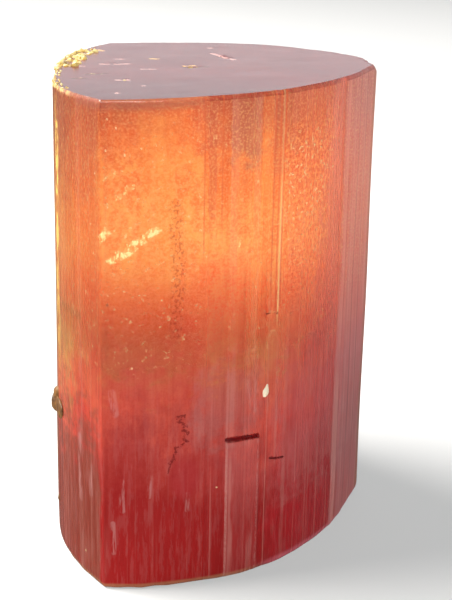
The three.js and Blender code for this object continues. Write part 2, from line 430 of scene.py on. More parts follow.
def crystal_mesh():
    rings = ring_heights()
    first = section.corners["back"] - section.perimeter
    stations = first + np.arange(STATIONS) * section.perimeter / STATIONS
    distance, height = np.meshgrid(np.mod(stations, section.perimeter), rings)
    sides = side_point(distance, height).reshape(-1, 3)
    rim = sides[-STATIONS:, :2]
    inner, top_faces = triangulate_top(rim)
    x, y = (inner + MIDDLE).T
    level = top_level(x, y)
    level = level - chip_drop(x, y, level) + top_relief(x, y)
    places = np.vstack([sides, np.column_stack([inner, level]), [[0, 0, 0]]])

    here = np.arange(STATIONS)
    beside = np.roll(here, -1)
    faces = []
    maps = []
    along = np.append(stations, first + section.perimeter)
    for ring in range(len(rings) - 1):
        low = ring * STATIONS
        high = low + STATIONS
        faces.append(np.column_stack([low + here, low + beside, high + beside, high + here]))
        corners = [(here, ring), (here + 1, ring), (here + 1, ring + 1), (here, ring + 1)]
        drawn = [np.column_stack([along[i], np.full(STATIONS, rings[r])]) for i, r in corners]
        maps.append(np.stack(drawn, 1))
    side_faces = np.vstack(faces)
    side_maps = np.vstack(maps)

    last = (len(rings) - 1) * STATIONS
    names = np.concatenate([last + here, len(sides) + np.arange(len(inner))])
    top = names[np.array(top_faces)]
    centre = len(places) - 1
    base = np.column_stack([np.full(STATIONS, centre), beside, here])
    ends = np.vstack([top, base])
    sheet = np.concatenate([np.full(len(top), TOP_SHEET), np.full(len(base), BASE_SHEET)])
    end_maps = places[ends][..., :2] + np.stack([np.zeros_like(sheet), sheet], 1)[:, None]

    mesh = bpy.data.meshes.new("tourmaline_crystal")
    mesh.from_pydata((places * MM).tolist(), [], side_faces.tolist() + ends.tolist())
    layer = mesh.uv_layers.new(name="surface")
    flat_maps = np.vstack([side_maps.reshape(-1, 2), end_maps.reshape(-1, 2)])
    layer.uv.foreach_set("vector", flat_maps.astype(np.float32).ravel())
    mesh.shade_smooth()
    mesh.set_sharp_from_angle(angle=math.radians(32))
    return mesh


# Crusts and grains

# The rusty lump is two knobs grown together over a flat skirt. Knobs: distance, height, size out, along and
# up, turn.
LUMP = [
    (-8.7, 10.7, (1.05, 1.4, 1.5), 11),
    (-8.5, 11.6, (0.7, 0.9, 0.9), 29),
    (-7.3, 10.9, (0.44, 2.4, 1.5), 15),
]
LUMP_VOXEL = 0.06
GRAIN = (11.5, 13.9, (0.4, 0.46, 0.98), -14)
FOOT_KNOB = (-7.6, 3.4, (0.35, 0.5, 0.6), 0)

# Golden crumbs on the broken rim, by stretch: its ends, how many there are, how far in they reach and the
# size of the largest.
RIM_CRUSTS = [
    {"start": -23.4, "end": -15.0, "count": 190, "inward": 1.5, "size": 0.62},
    {"start": -16.0, "end": -5.0, "count": 120, "inward": 0.3, "size": 0.24},
    {"start": -28.0, "end": -22.5, "count": 24, "inward": 0.7, "size": 0.3},
]


def surface_axes(distance, height):
    """The place on the side and the directions out, along and up there."""
    place = side_point(np.array([float(distance)]), np.array([float(height)]))[0]
    out = np.append(section.outward(float(distance)), 0.0)
    up = np.array([0.0, 0.0, 1.0])
    return place, np.array([out, np.cross(up, out), up])


def knob_points(size, rough, seed, subdivisions, taper=0.0):
    """A rough ellipsoid's points and faces, narrower upward by its taper."""
    ball = bmesh.new()
    bmesh.ops.create_icosphere(ball, subdivisions=subdivisions, radius=0.5)
    points = np.array([vertex.co for vertex in ball.verts])
    faces = np.array([[vertex.index for vertex in face.verts] for face in ball.faces])
    ball.free()
    random = np.random.default_rng(seed)
    swell = np.zeros(len(points))
    for pitch, share in ((0.42, 1.0), (0.2, 0.5)):
        waves = random.normal(0, 1 / pitch, (5, 3))
        phases = random.uniform(0, 2 * math.pi, 5)
        swell += share * np.sin(points @ waves.T * 2 + phases).mean(1)
    points = points * (1 + rough * swell[:, None])
    points[:, :2] *= 1 - taper * np.clip(points[:, 2:] + 0.1, 0, 1)
    return points * size, faces


def placed(points, place, axes, turn=0.0):
    """Points turned about the outward direction, then set on the surface."""
    c = math.cos(math.radians(turn))
    s = math.sin(math.radians(turn))
    out, along, up = points.T
    turned = np.stack([out, c * along - s * up, s * along + c * up], 1)
    return place + turned @ axes


def joined_mesh(name, parts):
    """One mesh of several lots of points and faces, in millimetres."""
    points = np.vstack([part[0] for part in parts])
    starts = np.cumsum([0] + [len(part[0]) for part in parts[:-1]])
    faces = np.vstack([part[1] + start for part, start in zip(parts, starts)])
    mesh = bpy.data.meshes.new(name)
    mesh.from_pydata((points * MM).tolist(), [], faces.tolist())
    return mesh


def side_knob(name, knobs, rough, seed, subdivisions=4, taper=0.0):
    parts = []
    for number, (distance, height, size, turn) in enumerate(knobs):
        points, faces = knob_points(size, rough, seed + number, subdivisions, taper)
        place, axes = surface_axes(distance, height)
        parts.append((placed(points, place, axes, turn), faces))
    return joined_mesh(name, parts)


def rim_crumb(random, crust):
    """An angular crumb that lies in the break of the top rim. The farther in, the higher it has to lie."""
    distance = random.uniform(crust["start"], crust["end"])
    size = random.uniform(0.35, 1.0) * crust["size"] * np.array([1.0, random.uniform(0.7, 1.5), 0.6])
    points, faces = knob_points(size, 0.35, random.integers(1 << 30), 1)
    inward = random.uniform(0.0, 1.0) ** 1.5
    place, axes = surface_axes(distance, HEIGHT - 0.35 * random.random() * (1 - inward))
    return placed(points, place - axes[0] * inward * crust["inward"], axes, random.uniform(0, 180)), faces


def pit_crumbs(random):
    """A few grains in each pit of the top face, not in the scratch that comes last."""
    parts = []
    for x, y, length, width, turn, depth in TOP_PITS[:6]:
        for _ in range(3):
            u = random.uniform(-0.4, 0.4) * length
            across = random.uniform(-0.3, 0.3) * width
            along = math.radians(turn)
            px = x + u * math.cos(along) - across * math.sin(along)
            py = y + u * math.sin(along) + across * math.cos(along)
            size = random.uniform(0.1, 0.24) * np.array([1.2, 1.0, 0.7])
            points, faces = knob_points(size, 0.3, random.integers(1 << 30), 1)
            place = np.array([px, py, top_level(px, py) - 0.5 * depth]) - np.append(MIDDLE, 0)
            parts.append((points + place, faces))
    return parts


def add_piece(name, mesh, material, flat=False):
    made = bpy.data.objects.new(name, mesh)
    bpy.context.scene.collection.objects.link(made)
    mesh.materials.append(material)
    if not flat:
        mesh.shade_smooth()
    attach(made, "root")
    return made


def merge_shells(made, voxel):
    """Grows overlapping knobs into one skin."""
    remesh = made.modifiers.new("one skin", "REMESH")
    remesh.mode = "VOXEL"
    remesh.voxel_size = voxel * MM
    bpy.context.view_layer.update()
    shown = made.evaluated_get(bpy.context.evaluated_depsgraph_get())
    skin = bpy.data.meshes.new_from_object(shown)
    made.modifiers.clear()
    made.data = skin
    skin.shade_smooth()


# Node graphs

class Graph:
    """Adds nodes to a material or a world. Each method returns the socket that the next one uses."""

    def __init__(self, owner):
        self.owner = owner
        self.owner.use_nodes = True
        self.tree = self.owner.node_tree
        self.tree.nodes.clear()

    def node(self, kind, settings=None, inputs=None):
        made = self.tree.nodes.new(kind)
        for name, value in (settings or {}).items():
            setattr(made, name, value)
        for name, value in (inputs or {}).items():
            self.feed(made.inputs[name], value)
        return made

    def feed(self, socket, value):
        if isinstance(value, bpy.types.NodeSocket):
            self.tree.links.new(value, socket)
        else:
            socket.default_value = value

    def math(self, operation, a, b=0.0):
        return self.node("ShaderNodeMath", {"operation": operation}, {0: a, 1: b}).outputs[0]

    def add(self, a, b):
        return self.math("ADD", a, b)

    def times(self, *values):
        product = values[0]
        for value in values[1:]:
            product = self.math("MULTIPLY", product, value)
        return product

    def less(self, a, b):
        return self.math("SUBTRACT", a, b)

    def rise(self, value, low, high):
        """0 below low, 1 above high, and smooth between. A fall has low above high."""
        settings = {"interpolation_type": "SMOOTHSTEP"}
        if low < high:
            ends = {"From Min": low, "From Max": high, "To Min": 0.0, "To Max": 1.0}
        else:
            ends = {"From Min": high, "From Max": low, "To Min": 1.0, "To Max": 0.0}
        return self.node("ShaderNodeMapRange", settings, {"Value": value, **ends}).outputs[0]

    def between(self, value, low, high, soft):
        """1 between low and high, with soft ends."""
        into = self.rise(value, low - soft / 2, low + soft / 2)
        out = self.rise(value, high + soft / 2, high - soft / 2)
        return self.times(into, out)

    def vector_math(self, operation, a, b):
        made = self.node("ShaderNodeVectorMath", {"operation": operation}, {0: a, 1: b})
        is_number = operation in ("DOT_PRODUCT", "DISTANCE")
        return made.outputs["Value" if is_number else "Vector"]

    def vector(self, x, y, z=0.0):
        return self.node("ShaderNodeCombineXYZ", inputs={"X": x, "Y": y, "Z": z}).outputs[0]

    def parts(self, vector):
        return self.node("ShaderNodeSeparateXYZ", inputs={"Vector": vector}).outputs

    def red(self, colour):
        """The first part of a colour, as a number."""
        return self.node("ShaderNodeSeparateColor", inputs={"Color": colour}).outputs[0]

    def noise(self, place, scale, detail, roughness, dimensions="2D"):
        """Noise over the surface place, which is flat."""
        values = {"Vector": place, "Scale": scale, "Detail": detail, "Roughness": roughness}
        return self.node("ShaderNodeTexNoise", {"noise_dimensions": dimensions}, values).outputs[0]

    def stretched_noise(self, place, across, upward, detail, roughness, scale=1.0):
        """Noise with features about 1 / (across * scale) wide and 1 / (upward * scale) high."""
        stretched = self.vector_math("MULTIPLY", place, (across, upward, 0.0))
        return self.noise(stretched, scale, detail, roughness)

    def solid_noise(self, place, scale, detail, roughness):
        return self.noise(place, scale, detail, roughness, "3D")

    def cells(self, place, scale):
        """The distance to each cell's middle, and a random number for each cell."""
        made = self.node("ShaderNodeTexVoronoi", inputs={"Vector": place, "Scale": scale})
        return made.outputs["Distance"], self.red(made.outputs["Color"])

    def flecks(self, place, scale, radius, share):
        """1 in small spots, in a share of the cells, each of its own size."""
        off, chance = self.cells(place, scale)
        chosen = self.rise(chance, 1 - share, 1 - 0.6 * share)
        reach = self.times(radius, self.add(0.5, chosen))
        spot = self.rise(self.math("DIVIDE", off, reach), 1.0, 0.55)
        return self.times(spot, chosen)

    def any_of(self, masks):
        """The strongest of several masks."""
        strongest = masks[0]
        for mask in masks[1:]:
            strongest = self.math("MAXIMUM", strongest, mask)
        return strongest

    def dots(self, place, middles, radius):
        """1 in the middle of each dot, falling to 0 at its radius."""
        offs = [self.vector_math("DISTANCE", place, (*middle, 0.0)) for middle in middles]
        return self.any_of([self.rise(off, radius, radius / 2) for off in offs])

    def mix(self, share, a, b, kind="MIX"):
        made = self.node("ShaderNodeMix", {"data_type": "RGBA", "blend_type": kind})
        self.feed(made.inputs[0], share)
        for socket, colour in ((made.inputs[6], a), (made.inputs[7], b)):
            self.feed(socket, colour if isinstance(colour, bpy.types.NodeSocket) else (*colour, 1.0))
        return made.outputs[2]

    def blend(self, share, a, b):
        """A number between a and b."""
        return self.node("ShaderNodeMix", {"data_type": "FLOAT"}, {0: share, 2: a, 3: b}).outputs[0]

    def ramp(self, value, stops):
        """A colour for each value, from (value, colour) stops over any range."""
        low = stops[0][0]
        high = stops[-1][0]
        made = self.node("ShaderNodeValToRGB")
        elements = made.color_ramp.elements
        while len(elements) < len(stops):
            elements.new(0.5)
        for element, (at, colour) in zip(elements, stops):
            element.position = (at - low) / (high - low)
            element.color = (*colour, 1.0)
        share = self.node("ShaderNodeMapRange", inputs={"Value": value, "From Min": low, "From Max": high})
        self.feed(made.inputs[0], share.outputs[0])
        return made.outputs[0]

    def curve(self, value, stops):
        """A number for each value, from (value, number) stops over any range."""
        return self.red(self.ramp(value, [(at, (number,) * 3) for at, number in stops]))

    def finish(self, surface, inside=None):
        out = self.node("ShaderNodeOutputMaterial", inputs={"Surface": surface})
        if inside:
            self.feed(out.inputs["Volume"], inside)
        return self.owner


# Looks of the crystal

# Colour of the sides by height, from the deep red foot to the orange upper part and its dull rim: partly the
# stone's own zoning, partly painted light, with glow painted into the upper part and painted shade at the
# foot.
ZONES = [
    (0.0, (0.38, 0.008, 0.0085)),
    (5.0, (0.36, 0.010, 0.0095)),
    (9.5, (0.51, 0.054, 0.046)),
    (13.0, (0.84, 0.125, 0.080)),
    (16.5, (1.0, 0.26, 0.115)),
    (20.0, (1.0, 0.58, 0.18)),
    (24.0, (1.0, 0.47, 0.125)),
    (28.0, (0.92, 0.31, 0.080)),
    (31.0, (0.75, 0.242, 0.092)),
    (34.0, (0.36, 0.11, 0.055)),
]

# How cloudy the crystal is at each height. Only the upper part is clear.
CLOUDINESS = [(0.0, 0.92), (8.0, 0.86), (11.0, 0.78), (14.0, 0.6),
              (16.5, 0.38), (18.5, 0.18), (21.0, 0.09), (34.0, 0.08)]

# How each stretch of the sides tints that colour, by distance from the front corner.
TINTS = [
    (-28.8, (0.80, 0.72, 0.80)),
    (-20.0, (0.95, 0.90, 0.95)),
    (-9.0, (0.92, 1.00, 0.90)),
    (-4.0, (0.90, 0.95, 0.80)),
    (-2.5, (0.88, 0.76, 0.68)),
    (-0.4, (0.84, 0.66, 0.58)),
    (0.0, (0.98, 0.90, 0.76)),
    (1.5, (1.0, 0.98, 0.92)),
    (4.5, (1.0, 1.0, 0.88)),
    (6.2, (1.0, 0.86, 0.78)),
    (9.0, (0.96, 0.92, 0.95)),
    (11.5, (0.98, 1.0, 1.0)),
    (13.0, (0.94, 0.82, 1.0)),
    (17.5, (0.84, 0.64, 1.0)),
    (19.4, (0.84, 0.70, 1.0)),
    (26.2, (0.88, 0.78, 1.0)),
    (36.0, (0.97, 0.92, 0.95)),
    (46.0, (0.92, 0.86, 0.90)),
    (53.2, (0.80, 0.72, 0.80)),
]

# How far each stretch draws the borders of the zones down, in millimetres, with soft ends.
LIFTS = [((-11.0, -4.0), 2.6), ((-0.3, 6.8), -1.3), ((9.5, 26.0), 1.0)]
LIFT_SOFT = 2.0

# Patches of the sides. For each: start, end and softness along, then up, how strongly it is laid on, its
# colour and its milkiness, or None to leave that as it is.
PATCHES = {
    "dusty left foot": ((-9.5, -0.3, 0.4), (-4.0, 12.0, 8.0), 0.80, (0.25, 0.062, 0.036), 0.8),
    # The mauve patches (cloud, right foot, shoulder and strip) are painted sheen: pale light reflected by the
    # lower front and the right faces, painted as mauve over the stone's red.
    "mauve sheen cloud": ((6.4, 11.0, 1.8), (11.0, 16.0, 2.6), 0.45, (0.52, 0.19, 0.175), 0.6),
    "mauve sheen right foot": ((13.0, 27.0, 3.0), (5.5, 15.0, 4.0), 0.50, (0.66, 0.15, 0.145), 0.6),
    "crimson glow": ((4.2, 8.6, 1.5), (1.2, 6.5, 2.5), 0.60, (0.36, 0.006, 0.006), 0.85),
    "crimson right foot": ((12.5, 27.0, 2.5), (-4.0, 5.0, 3.0), 0.65, (0.50, 0.016, 0.024), 0.85),
    "yellow glow": ((0.0, 11.8, 1.4), (17.5, 31.5, 5.0), 0.28, (1.0, 0.62, 0.16), 0.0),
    "gold band": ((2.5, 4.75, 0.4), (19.0, 32.5, 4.0), 0.50, (1.0, 0.78, 0.20), 0.0),
    "gold cloud": ((7.8, 11.8, 2.0), (18.0, 25.5, 4.0), 0.45, (1.0, 0.74, 0.24), 0.0),
    "orange band": ((10.75, 11.6, 0.2), (19.0, 36.0, 3.0), 0.55, (1.0, 0.50, 0.12), 0.0),
    "gold left edge": ((-9.8, -4.9, 1.4), (17.0, 28.0, 5.0), 0.45, (1.0, 0.72, 0.22), 0.1),
    "ridge": ((0.0, 0.65, 0.3), (18.0, 31.0, 3.0), 0.40, (1.0, 0.68, 0.20), 0.0),
    "brown left shoulder": ((-9.8, -0.35, 0.4), (28.5, 38.0, 4.5), 0.65, (0.50, 0.145, 0.070), 0.2),
    "brown rim": ((6.4, 27.0, 1.5), (30.5, 38.0, 4.0), 0.50, (0.54, 0.20, 0.135), 0.3),
    # Painted sheen, as mauve.
    "mauve sheen shoulder": ((13.4, 19.3, 1.5), (20.0, 40.0, 6.0), 0.40, (0.68, 0.25, 0.18), None),
    "brown band": ((6.95, 7.5, 0.12), (26.0, 40.0, 4.0), 0.65, (0.52, 0.18, 0.11), None),
    "grey band": ((8.45, 10.6, 0.2), (29.6, 40.0, 2.0), 0.80, (0.42, 0.19, 0.140), 0.3),
    # Painted sheen of the right strip, as mauve over the stone's red.
    "mauve sheen strip": ((19.2, 26.0, 0.25), (-4.0, 40.0, 5.0), 0.62, (0.68, 0.30, 0.30), 0.6),
}

# How strongly lines along the crystal show, by distance from the front corner.
LINE_STRENGTH = [(-28.8, 0.5), (-9.0, 0.35), (-0.5, 0.3), (0.0, 0.1), (6.8, 0.15),
                 (7.4, 0.6), (8.7, 0.5), (10.5, 0.3), (11.2, 0.6), (12.6, 0.5),
                 (13.2, 0.25), (18.9, 0.35), (19.3, 0.9), (26.2, 1.0), (53.2, 0.6)]


class Look:
    """The base colour and milkiness of a surface, laid on in turn."""

    def __init__(self, g, colour, milk):
        self.g = g
        self.colour = colour
        self.milk = milk

    def lay(self, share, colour, milk=None, kind="MIX"):
        self.colour = self.g.mix(share, self.colour, colour, kind)
        if milk is not None:
            self.milk = self.g.blend(share, self.milk, milk)

    def darken(self, share, colour):
        self.lay(share, colour, kind="MULTIPLY")


def surface_places(g):
    """Distance from the front corner, height, and both as a vector, in millimetres."""
    place = g.node("ShaderNodeUVMap", {"uv_map": "surface"}).outputs[0]
    parts = g.parts(place)
    return parts["X"], parts["Y"], place


def near_path(g, place, points, width):
    """1 within half the width of a path of (along, up) points, falling to 0 at the full width."""
    total = 0.0
    for (x0, y0), (x1, y1) in zip(points, points[1:]):
        away = g.vector_math("SUBTRACT", place, (x0, y0, 0))
        span = Vector((x1 - x0, y1 - y0, 0))
        along = g.vector_math("DOT_PRODUCT", away, span / span.length_squared)
        share = g.math("MINIMUM", g.math("MAXIMUM", along, 0.0), 1.0)
        reached = g.vector_math("MULTIPLY", g.vector(share, share, 0.0), span)
        off = g.vector_math("DISTANCE", away, reached)
        total = g.math("MAXIMUM", total, g.rise(off, width, width / 2))
    return total


# Markings, as (along, up) places in millimetres on the surface. Straight lines: their middle along, width
# and lowest place, and LINE_SOFT, how soft their sides are. Scuffs: path and width. Veils: path, width and
# strength.
SPECKLED_CRACK = [(4.8, 27.3), (4.9, 25.2), (5.1, 23.2), (5.0, 21.2), (4.9, 19.0)]
BRIGHT_LINE = (12.32, 0.15, 19.0)
DARK_LINES = [(12.08, 0.13, 19.5), (12.52, 0.11, 20.0), (11.72, 0.1, 21.0),
              (6.7, 0.1, 24.0), (7.9, 0.1, 26.0)]
LINE_SOFT = 0.06
PANEL = {"start": 8.6, "end": 11.0, "top": 10.5}
PURPLE_PATCH = {"along": 5.6, "up": 8.4, "wide": 1.4, "high": 1.9}
CRACK_ZIGZAG = [(5.0, 12.9), (5.6, 13.05), (5.15, 12.6), (5.65, 12.35),
                (5.35, 12.0), (5.8, 11.85), (5.45, 11.35), (5.8, 11.1)]
SCUFFS = [
    ([(0.65, 14.9), (0.85, 13.4)], 0.36),
    ([(1.3, 8.4), (1.35, 6.2)], 0.26),
    ([(3.2, 8.7), (3.15, 7.2)], 0.22),
    ([(5.85, 7.2), (5.8, 5.9)], 0.2),
    ([(0.7, 5.2), (0.75, 2.9)], 0.22),
    ([(-2.9, 10.6), (-2.8, 6.0)], 0.40),
    ([(-1.5, 9.4), (-1.5, 6.8)], 0.26),
    ([(10.4, 14.6), (10.7, 12.9)], 0.55),
]
VEILS = [
    ([(0.7, 24.1), (1.9, 24.6)], 0.42, 0.9),
    ([(1.9, 24.8), (2.8, 25.4), (3.6, 25.9)], 0.40, 1.0),
    ([(-0.1, 25.3), (0.4, 25.9)], 0.32, 0.8),
    ([(1.1, 28.0), (2.1, 28.8)], 0.24, 0.5),
    ([(0.2, 29.1), (1.3, 29.7)], 0.16, 0.35),
    ([(9.1, 24.2), (9.2, 24.9)], 0.16, 0.7),
]
LOW_VEIL = [(17.65, 18.35), (16.2, 17.8), (14.55, 17.15), (13.15, 16.1), (12.65, 14.95)]
DARK_DOTS = [(12.3, 19.3), (0.4, 21.0)]
BRIGHT_DOTS = [(0.35, 30.95), (1.55, 30.65), (2.6, 31.05), (-0.7, 29.45), (0.45, 32.85),
               (1.0, 32.3), (3.95, 21.25), (2.0, 16.65), (7.9, 7.35), (-2.25, 1.95)]
PEBBLY = {"along": (12.3, 16.0), "up": (19.0, 31.5), "lean": -0.15, "from": 20.0}

# How far the specks are shaken out of their cells, in millimetres.
SHAKE = 0.55


def oval(g, along, up, spot):
    """1 in the middle of an oval patch, falling to 0 at its edge."""
    x = g.math("DIVIDE", g.less(along, spot["along"]), spot["wide"])
    y = g.math("DIVIDE", g.less(up, spot["up"]), spot["high"])
    reach = g.add(g.times(x, x), g.times(y, y))
    return g.rise(reach, 1.0, 0.2)


def thin_line(g, along, middle, width):
    """1 on a thin upright line."""
    return g.between(along, middle - width / 2, middle + width / 2, LINE_SOFT)


def zoned_look(g, along, up, place):
    """Zones with cloudy borders, and the tint of each side."""
    cloud = g.stretched_noise(place, 0.3, 0.2, 5.0, 0.65)
    ragged = g.stretched_noise(place, 1.3, 0.9, 5.0, 0.7)
    level = g.add(up, g.add(g.times(g.less(cloud, 0.5), 6.0), g.times(g.less(ragged, 0.5), 4.0)))
    for (start, end), lift in LIFTS:
        level = g.add(level, g.times(g.between(along, start, end, LIFT_SOFT), lift))
    colour = g.mix(1.0, g.ramp(level, ZONES), g.ramp(along, TINTS), "MULTIPLY")
    return Look(g, colour, g.curve(up, CLOUDINESS))


def lay_patches(look, along, up, place):
    """Clouds and bands of other colour. The softer the end of one is, the more ragged it is."""
    g = look.g
    aside = g.less(g.stretched_noise(place, 0.7, 0.5, 4.0, 0.7), 0.5)
    above = g.less(g.stretched_noise(place, 0.55, 0.7, 4.0, 0.7, 1.3), 0.5)
    for (start, end, soft), (low, high, fade), strength, colour, milk in PATCHES.values():
        across = g.between(g.add(along, g.times(aside, 2.5 * soft)), start, end, soft)
        upward = g.between(g.add(up, g.times(above, 2.5 * fade)), low, high, fade)
        look.lay(g.times(across, upward, strength), colour, milk)


def lay_mottle(look, along, up, place):
    """Clouds, strokes and grain from the many small inclusions, and painted glow over the upper front."""
    g = look.g
    high = g.rise(up, 16.5, 21.0)
    cloud = g.stretched_noise(place, 0.42, 0.34, 6.0, 0.7)
    strokes = g.stretched_noise(place, 2.4, 0.26, 4.0, 0.68)
    dashes = g.stretched_noise(place, 2.2, 2.6, 4.0, 0.75)
    grain = g.noise(place, 6.0, 3.0, 0.7)
    look.darken(g.times(g.rise(cloud, 0.51, 0.42), g.add(0.3, g.times(high, 0.3))), (0.98, 0.68, 0.60))
    look.darken(g.times(g.rise(strokes, 0.50, 0.38), 0.5), (0.92, 0.66, 0.62))

    # Painted glow: bright yellow clouds and dashes over the upper front, where light passes through.
    ceiling = g.rise(g.add(up, g.times(g.rise(along, 6.2, 7.2), 4.0)), 33.0, 29.5)
    glow = g.times(g.between(along, 0.0, 12.5, 2.5), g.times(high, ceiling))
    look.lay(g.times(g.rise(cloud, 0.50, 0.60), glow, 0.7), (1.0, 0.82, 0.22), 0.0)
    look.lay(g.times(g.rise(dashes, 0.51, 0.58), glow, 0.5), (1.0, 0.90, 0.36), 0.0)
    look.darken(g.times(g.rise(dashes, 0.48, 0.40), glow, 0.45), (0.98, 0.60, 0.50))
    look.darken(g.times(g.rise(grain, 0.50, 0.36), 0.5), (0.92, 0.66, 0.62))
    look.lay(g.times(g.rise(grain, 0.53, 0.60), high, 0.4), (1.0, 0.90, 0.40))


def lay_dust(look, up, place):
    """Pale dusty strokes low on the crystal, and a few scuffs."""
    g = look.g
    dust = g.stretched_noise(place, 2.6, 0.3, 4.0, 0.72)
    low = g.rise(up, 17.0, 11.0)
    look.lay(g.times(g.rise(dust, 0.49, 0.62), low, 0.12), (0.50, 0.20, 0.19), 0.9)
    look.darken(g.times(g.rise(dust, 0.48, 0.36), low, 0.22), (0.82, 0.52, 0.52))
    scuffs = g.any_of([near_path(g, place, path, width) for path, width in SCUFFS])
    look.lay(g.times(scuffs, g.rise(dust, 0.42, 0.60), 0.35), (0.58, 0.29, 0.27), 0.9)


def lay_lines(look, along, place):
    """Straight lines along the crystal."""
    g = look.g
    strength = g.curve(along, LINE_STRENGTH)
    wide = g.stretched_noise(place, 1.3, 0.0006, 3.0, 0.65)
    fine = g.stretched_noise(place, 6.0, 0.003, 2.0, 0.5)
    fade = g.stretched_noise(place, 0.9, 0.12, 3.0, 0.6)
    shown = g.times(strength, g.rise(fade, 0.36, 0.56))
    look.darken(g.times(g.rise(wide, 0.50, 0.59), shown, 0.8), (0.82, 0.55, 0.52))
    look.darken(g.times(g.rise(fine, 0.50, 0.62), shown, 0.7), (0.84, 0.60, 0.58))
    look.lay(g.times(g.rise(wide, 0.49, 0.40), shown, 0.4), (0.94, 0.50, 0.42), 0.5)


def lay_edges(look, along, up, place):
    """Painted shade in brown along both outlines, a painted highlight in bright flecks on the left, then the
    rims.
    """
    g = look.g
    grain = g.stretched_noise(place, 2.5, 0.6, 5.0, 0.7)
    stain_and_shade = g.rise(grain, 0.35, 0.6)
    # Painted shade: brown along the left and right outlines, where the sides turn away from view at the
    # edges.
    left = g.times(g.between(along, -13.5, -8.0, 1.0), g.add(0.4, g.times(stain_and_shade, 0.4)))
    look.lay(left, (0.42, 0.18, 0.07), 0.5)
    right = g.times(g.between(along, 25.4, 27.6, 0.6), g.add(0.4, g.times(stain_and_shade, 0.3)))
    look.lay(right, (0.46, 0.20, 0.09), 0.5)
    # Painted highlight: a bright yellow line of flecks just inside the left outline, where light is
    # refracted.
    line = g.times(g.between(along, -7.7, -6.5, 0.5), g.between(up, 16.0, 33.0, 4.0))
    look.lay(g.times(line, g.rise(grain, 0.44, 0.56)), (1.0, 0.74, 0.18), 0.8)
    speckled = g.times(g.between(along, -7.5, -3.5, 1.5), g.between(up, 13.0, 24.0, 5.0))
    look.lay(g.times(speckled, g.rise(grain, 0.50, 0.60), 0.45), (0.95, 0.62, 0.20), 0.2)
    lay_rims(look, along, up, stain_and_shade)


def lay_rims(look, along, up, stain_and_shade):
    """The worn rims: dark, pink and golden at the top, brown and red at the foot."""
    g = look.g
    dark = g.times(g.between(along, 6.5, 25.5, 1.5), g.rise(up, HEIGHT - 0.33, HEIGHT - 0.27))
    look.lay(g.times(dark, g.add(0.6, g.times(stain_and_shade, 0.2))), (0.24, 0.020, 0.020), 0.5)
    pink = g.times(g.between(along, -3.0, 6.5, 1.5), g.rise(up, HEIGHT - 0.9, HEIGHT - 0.3))
    look.lay(g.times(pink, 0.7), (0.36, 0.13, 0.10), 0.5)
    gold = g.times(g.between(along, -17.0, -4.0, 2.0), g.rise(up, HEIGHT - 0.4, HEIGHT - 0.15))
    look.lay(g.times(gold, stain_and_shade), (1.0, 0.74, 0.30), 0.7)
    foot = g.times(g.rise(up, 0.5, 0.25), g.between(along, -9.0, 11.0, 3.0))
    look.lay(g.times(foot, 0.6), (0.46, 0.22, 0.10), 0.8)
    blush = g.times(g.rise(up, 0.7, 0.3), g.between(along, 12.0, 26.0, 3.0))
    look.lay(g.times(blush, 0.5), (0.80, 0.22, 0.28), 0.9)


def lay_front_marks(look, along, up, place):
    """The purple patch, straight lines and cracks of the front, then its panel, the notch's painted shade and
    dots.
    """
    g = look.g
    grain = g.stretched_noise(place, 5.0, 4.0, 4.0, 0.7)
    look.lay(g.times(oval(g, along, up, PURPLE_PATCH), 0.35), (0.42, 0.018, 0.030))

    for middle, width, low in DARK_LINES:
        line = thin_line(g, along, middle, width)
        look.lay(g.times(line, g.rise(up, low - 1.0, low + 1.0), 0.7), (0.60, 0.13, 0.05))
    middle, width, low = BRIGHT_LINE
    line = thin_line(g, along, middle, width)
    fading = g.less(1.0, g.times(g.rise(up, 26.0, 30.0), 0.6))
    look.lay(g.times(line, g.rise(up, low - 1.0, low + 1.0), fading), (1.0, 0.86, 0.34), 0.6)

    speckles = g.rise(grain, 0.5, 0.6)
    look.lay(g.times(near_path(g, place, SPECKLED_CRACK, 0.6), speckles, 0.85), (0.40, 0.085, 0.030))
    wiggle = g.less(g.noise(place, 2.2, 3.0, 0.6), 0.5)
    wandering = g.vector_math("ADD", place, g.vector(g.times(wiggle, 0.5), g.times(wiggle, -0.4)))
    for stroke, width in ((CRACK_ZIGZAG, 0.13), (WIGGLY_CRACK, 0.17)):
        crack = near_path(g, wandering, stroke, width)
        look.lay(g.times(crack, g.rise(grain, 0.40, 0.52), 0.8), (0.20, 0.008, 0.008))

    lay_panel(look, along, up, grain)
    ragged = g.vector_math("ADD", place, g.vector(0.0, g.times(g.less(grain, 0.5), 0.25)))
    # The notch is painted dark red as shade on its ledge, where one sees into the crystal; the dash is a
    # crack.
    notch_shade_and_dash = g.any_of([near_path(g, ragged, path, width) for path, width in ((NOTCH, 0.22), (DASH, 0.12))])
    look.lay(notch_shade_and_dash, (0.26, 0.002, 0.003), 0.2)
    look.lay(g.times(g.dots(ragged, DARK_DOTS, 0.13), 0.8), (0.28, 0.04, 0.02), 0.5)
    look.lay(g.times(g.dots(ragged, BRIGHT_DOTS, 0.09), 0.6), (1.0, 0.84, 0.46), 0.8)


def lay_panel(look, along, up, grain):
    """The dusty panel under the notch, with paler edges."""
    g = look.g
    start, end, top = PANEL.values()
    edge_left = g.between(along, start - 0.1, start + 0.05, LINE_SOFT)
    edge_right = g.between(along, end - 0.12, end + 0.03, LINE_SOFT)
    under_top = g.rise(up, top + 0.1, top - 0.1)
    edges = g.times(g.add(edge_left, edge_right), under_top, g.rise(grain, 0.4, 0.6))
    look.lay(g.times(edges, 0.3), (0.64, 0.30, 0.27), 0.9)
    inside = g.times(g.between(along, start, end, 0.1), under_top)
    dusty = g.times(g.add(0.07, g.times(g.rise(up, 3.0, 9.0), 0.12)), g.add(0.6, g.times(grain, 0.8)))
    look.lay(g.times(inside, dusty), (0.56, 0.19, 0.175), 0.9)


